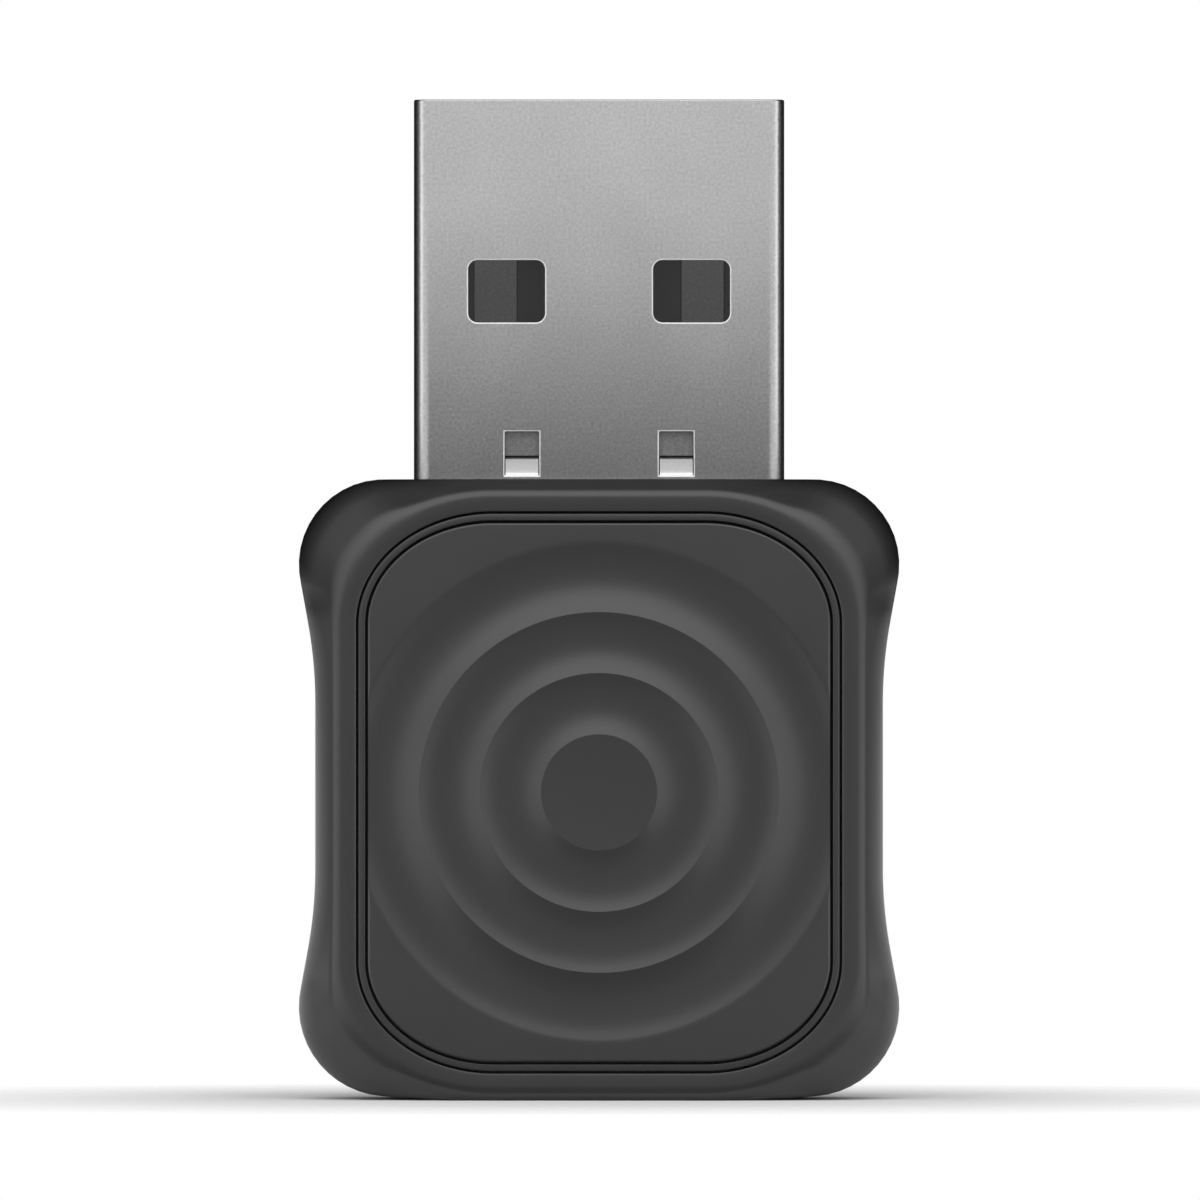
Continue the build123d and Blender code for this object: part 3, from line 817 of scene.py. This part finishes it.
metal = {
    "shellDark": 0.28,
    "shellLight": 0.66,
    "shellRoughness": 0.33,
    "shellGrain": 0.09,
    "shellBump": 0.003,
    # tones of the painted highlight on the bent lock tabs, brighter than the sheet
    "tabHighlightDark": 0.52,
    "tabHighlightLight": 0.62,
    "tabX": 4.0,               # the painted highlight on the bent tabs lies within this of the middle, and in these spans
    "tabY": (-2.2, -1.2),
    "tabZ": (20.1, 21.0),
    "rimHighlightX": 5.0,               # and the painted highlight rim on the cut edges within this, and below this height
    "rimHighlightZ": 28.0,
    "rimHighlightSkin": 0.004,          # how far below the face the painted highlight rim starts
    "rimHighlightRoughness": 0.4,       # added to the sheet's, on the painted highlight rim
    "contactDark": 0.06,
    "contactLight": 0.14,
    "contactRoughness": 0.50,
    "contactGrain": 0.10,
    "contactBump": 0.004,
    "fineShare": 0.8,
    "cloudSize": 2.5,
    "roughnessSpread": 0.06,
    "bumpStrength": 0.6,
}


def sheetTone(place, fine, dark, light):
    # fine even grain over a slow cloud
    share = metal["fineShare"]
    return (fine * share + place.noise(metal["cloudSize"], 2.0) * (1 - share)).tint(dark, light)


def contactMaterial():
    material, place = startMaterial("contact_plated")
    fine = place.noise(metal["contactGrain"], 2.0, 0.6)
    middle, spread = metal["contactRoughness"], metal["roughnessSpread"]
    return setSurface(material, {
        "Base Color": sheetTone(place, fine, metal["contactDark"], metal["contactLight"]),
        "Metallic": 1.0,
        "Roughness": fine.spread(middle - spread, middle + spread),
        "Normal": fine.bump(metal["contactBump"], metal["bumpStrength"]),
    })


def shellMaterial():
    # grained steel, with a painted highlight on its bent lock tabs and a painted highlight rim, white and rough, on
    # the cut edges round the windows
    material, place = startMaterial("shell_steel")
    x, y, z = place.split()
    fine = place.noise(metal["shellGrain"], 2.0, 0.6)

    def within(value, low, high):
        return value.between(low * mm, high * mm)
    face = plug["thickness"] / 2
    tab = within(z, *metal["tabZ"]) * within(y, *metal["tabY"]) * within(x, -metal["tabX"], metal["tabX"])
    # painted highlight: a thin rim on the cut edges round the windows and lock cut-outs
    cut = within(y, metal["rimHighlightSkin"] - face, plug["edge"] - face) * within(x, -metal["rimHighlightX"], metal["rimHighlightX"])
    cut = cut * (1 - z.over(metal["rimHighlightZ"] * mm))
    sheet = sheetTone(place, fine, metal["shellDark"], metal["shellLight"])
    # painted highlight: the bent lock tabs given a brighter tone than the sheet
    colour = tab.tint(sheet, fine.tint(metal["tabHighlightDark"], metal["tabHighlightLight"]))
    middle, spread = metal["shellRoughness"], metal["roughnessSpread"]
    # the painted highlight rim goes on as white base colour and added roughness
    return setSurface(material, {
        "Base Color": (cut * (1 - tab)).tint(colour, 1.0),
        "Metallic": 1.0,
        "Roughness": fine.spread(middle - spread, middle + spread) + cut * metal["rimHighlightRoughness"],
        "Normal": fine.bump(metal["shellBump"], metal["bumpStrength"]),
    })


insulator = {
    "black": (0.007, 0.012),
    "dull": (0.04, 0.17),      # tone of the end behind the lock cut-outs
    "dullZ": (20.0, 21.9),
    "dullY": -1.2,
    "grain": 0.08,
    "roughness": (0.5, 0.62),
    "bump": 0.004,
    "bumpStrength": 0.5,
}


def insulatorMaterial():
    # matte black block, its end behind the lock cut-outs dull and grained
    material, place = startMaterial("insulator_black")
    x, y, z = place.split()
    fine = place.noise(insulator["grain"], 3.0)
    low, high = insulator["dullZ"]
    near = z.between(low * mm, high * mm) * (1 - y.over(insulator["dullY"] * mm))
    return setSurface(material, {
        "Base Color": near.tint(fine.tint(*insulator["black"]), fine.tint(*insulator["dull"])),
        "Roughness": fine.spread(*insulator["roughness"]),
        "Normal": fine.bump(insulator["bump"], insulator["bumpStrength"]),
    })


def boardMaterial():
    # green solder mask over a faint weave
    material, place = startMaterial("board_green")
    weave = place.noise(0.4, 3.0)
    return setSurface(material, {
        "Base Color": weave.tint((0.010, 0.075, 0.035), (0.016, 0.11, 0.05)),
        "Roughness": weave.spread(0.28, 0.40),
        "Coat Weight": 0.3,
    })


def speckled(name, dark, light, size, roughness, metallic=0.0):
    # a plain moulded or fired stuff with a speckle of that size
    material, place = startMaterial(name)
    speckle = place.noise(size, 3.0)
    return setSurface(material, {
        "Base Color": speckle.tint(dark, light),
        "Metallic": metallic,
        "Roughness": speckle.spread(roughness - 0.06, roughness + 0.06),
    })


finishes = {
    "housing": satinPlastic(
        "housing_charcoal", plastic["housingDark"], plastic["housingLight"], plastic["flank"]),
    "face_plate": satinPlastic("plate_charcoal", plastic["plateDark"], plastic["plateLight"]),
    "trim_ring": satinPlastic("ring_charcoal", plastic["ringDark"], plastic["ringLight"]),
    "plug_shell": shellMaterial(),
    "contact": contactMaterial(),
    "insulator": insulatorMaterial(),
    "board": boardMaterial(),
    "copper": speckled("trace_copper", (0.60, 0.26, 0.13), (0.78, 0.40, 0.22), 0.3, 0.35, 1.0),
    "package": speckled("package_black", 0.012, 0.022, 0.15, 0.55),
    "crystal": speckled("crystal_can", 0.45, 0.58, 0.4, 0.30, 1.0),
    "ferrite": speckled("ferrite_grey", 0.030, 0.060, 0.12, 0.60),
    "ceramic": speckled("ceramic_tan", (0.30, 0.21, 0.13), (0.42, 0.31, 0.20), 0.1, 0.50),
    "resistor": speckled("resistor_dark", 0.020, 0.045, 0.1, 0.45),
    "solder": speckled("solder_bright", 0.50, 0.68, 0.2, 0.28, 1.0),
}

for piece, (node, slotName) in standsFor.items():
    piece.data.materials.clear()
    piece.data.materials.append(finishes[slotName])
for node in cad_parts.values():
    for place in node.material_slots:
        place.material = finishes[place.material.name.split(".")[0]]
print("finishes made")

studio = {
    "keyHeight": 47,           # degrees above the horizon, in front
    "keySpread": 70,           # how wide the soft light looks
    "keyStrength": 0.8,
    "fillHeight": 12,
    "fillStrength": 2.4,
    "sideFrom": (0.22, -0.13),     # x and y of the near end of each upright side light
    "sideTo": (0.27, -0.03),       # and of its far end
    "sideRise": 0.12,
    "sideTone": 1.5,           # brightness of its face, white paper being 1
    "ambient": 0.36,           # of the white surroundings, in diffuse light
    "floorTone": 0.94,
    "floorFade": (0.012, 0.030),     # from the object to where the floor has faded into the surroundings
}


def addSun(name, height, strength):
    dropSelection()
    bpy.ops.object.light_add(type="SUN", location=(0, -0.3, 0.5), rotation=(radians(90 - height), 0, 0))
    light = bpy.context.object
    light.name = name
    light.data.angle = radians(studio["keySpread"])
    light.data.energy = strength
    return light


def addSideLight(side):
    (nearX, nearY), (farX, farY) = studio["sideFrom"], studio["sideTo"]
    start, end = Vector((side * nearX, nearY, 0)), Vector((side * farX, farY, 0))
    width, rise = (end - start).length, studio["sideRise"]
    dropSelection()
    bpy.ops.object.light_add(type="AREA", location=(start + end) / 2 + Vector((0, 0, rise / 2 - 0.03)))
    light = bpy.context.object
    light.name = "sideLight"
    light.data.shape = "RECTANGLE"
    light.data.size, light.data.size_y = width, rise
    light.data.energy = studio["sideTone"] * pi * width * rise
    inwards = Vector((-side * (farY - nearY), farX - nearX, 0)) * side
    inwards = inwards if inwards.x * side < 0 else -inwards
    light.rotation_euler = inwards.to_track_quat("-Z", "Y").to_euler()
    light.visible_camera = False


addSun("keyLight", studio["keyHeight"], studio["keyStrength"])
fill = addSun("fillLight", studio["fillHeight"], studio["fillStrength"])
fill.visible_glossy = False    # lifts the flats without a second highlight
for side in (-1, 1):
    addSideLight(side)


def plainMaterial(name, tone, spread):
    material, place = startMaterial(name)
    return setSurface(material, {
        "Base Color": place.noise(40.0, 2.0).tint(tone - spread, tone + spread),
        "Roughness": 0.9,
        "Specular IOR Level": 0.0,
    })


def addCard(name, low, high, material):
    # a thin card that only reflections see
    card = addBox(name, low, high)
    card.data.materials.append(material)
    card.visible_camera = card.visible_diffuse = card.visible_shadow = card.visible_transmission = False


cards = {                      # two corners in millimetres, and the tone
    "frontCard": ((-16, -31, 13), (16, -30, 24.8), "dark"),
    "lowFrontCard": ((-16, -31, 1), (16, -30, 13), "grey"),
    "topCard": ((-150, -20, 85), (150, 190, 86), "dark"),
    "backCard": ((-150, 25, 14), (150, 26, 85), "dark"),
    "footCard": ((-8, -30, 0.03), (8, -3.9, 0.06), "grey"),
}
pairedCards = {                # the right one of each pair
    "footSideCard": ((8, -30, 0.03), (12.5, -4.6, 0.06), "grey"),
    "sideCard": ((90, -4, 17), (91, 80, 85), "dark"),
    "nearCard": ((17, -7, 1), (17.2, -2.4, 15.5), "dark"),
    "upperCard": ((17, -9.5, 15.5), (17.2, 25, 21), "dark"),
    "plugCard": ((17, -5, 21), (17.2, 25, 60), "dark"),
}

cardTones = {
    "dark": plainMaterial("card_black", 0.004, 0.001),
    "grey": plainMaterial("card_grey", 0.24, 0.01),
}
bpy.data.objects["plug_shell_sheet"].visible_glossy = False    # kept out of the housing's top edge
for name, (low, high, tone) in cards.items():
    addCard(name, low, high, cardTones[tone])
for side in (-1, 1):
    for name, (near, far, tone) in pairedCards.items():
        low, high = sorted((side * near[0], side * far[0]))
        addCard(name, (low, *near[1:]), (high, *far[1:]), cardTones[tone])


def floorMaterial():
    # pale, and clear away from the object so that it meets the white surroundings
    material = plainMaterial("floor_pale", studio["floorTone"], 0.004)
    tree = material.node_tree
    place = Shade(tree, tree.nodes["Texture Coordinate"].outputs["Object"])
    away = place.node("ShaderNodeVectorMath", {"operation": "LENGTH"}, {0: place}, "Value")
    near, far = studio["floorFade"]
    fade = place.node("ShaderNodeMapRange", {}, {0: away, 1: near, 2: far, 3: 1.0, 4: 0.0})
    return setSurface(material, {"Alpha": fade})


dropSelection()
bpy.ops.mesh.primitive_plane_add(size=6)
floor = settle(bpy.context.object, "floor")
floor.data.materials.append(floorMaterial())


def makeWorld():
    # white to the camera and in reflections, dimmer as a light
    world = bpy.data.worlds.new("studio")
    bpy.context.scene.world = world
    world.use_nodes = True
    nodes, links = world.node_tree.nodes, world.node_tree.links
    path = nodes.new("ShaderNodeLightPath").outputs
    seen = Shade(world.node_tree, path["Is Camera Ray"])
    for name in ("Is Glossy Ray", "Is Transmission Ray"):
        seen = seen.maths("MAXIMUM", seen, Shade(world.node_tree, path[name]))
    strength = seen * (1 - studio["ambient"]) + studio["ambient"]
    nodes["Background"].inputs["Color"].default_value = (1, 1, 1, 1)
    links.new(strength.socket, nodes["Background"].inputs["Strength"])


makeWorld()

lens = {
    "x": 0.00003,
    "z": 0.01619,
    "distance": 0.9,
    "width": 0.03896,          # seen across the object
    "sensor": 36.0,
}

dropSelection()
bpy.ops.object.camera_add(location=(lens["x"], -lens["distance"], lens["z"]), rotation=(pi / 2, 0, 0))
camera = bpy.context.object
camera.name = "mainCamera"
camera.data.sensor_width = lens["sensor"]
camera.data.lens = lens["sensor"] * lens["distance"] / lens["width"]
camera.data.clip_start = 0.01
camera.data.clip_end = 20.0
bpy.context.scene.camera = camera
bpy.context.scene.view_settings.view_transform = "Standard"
print("stage and camera made")
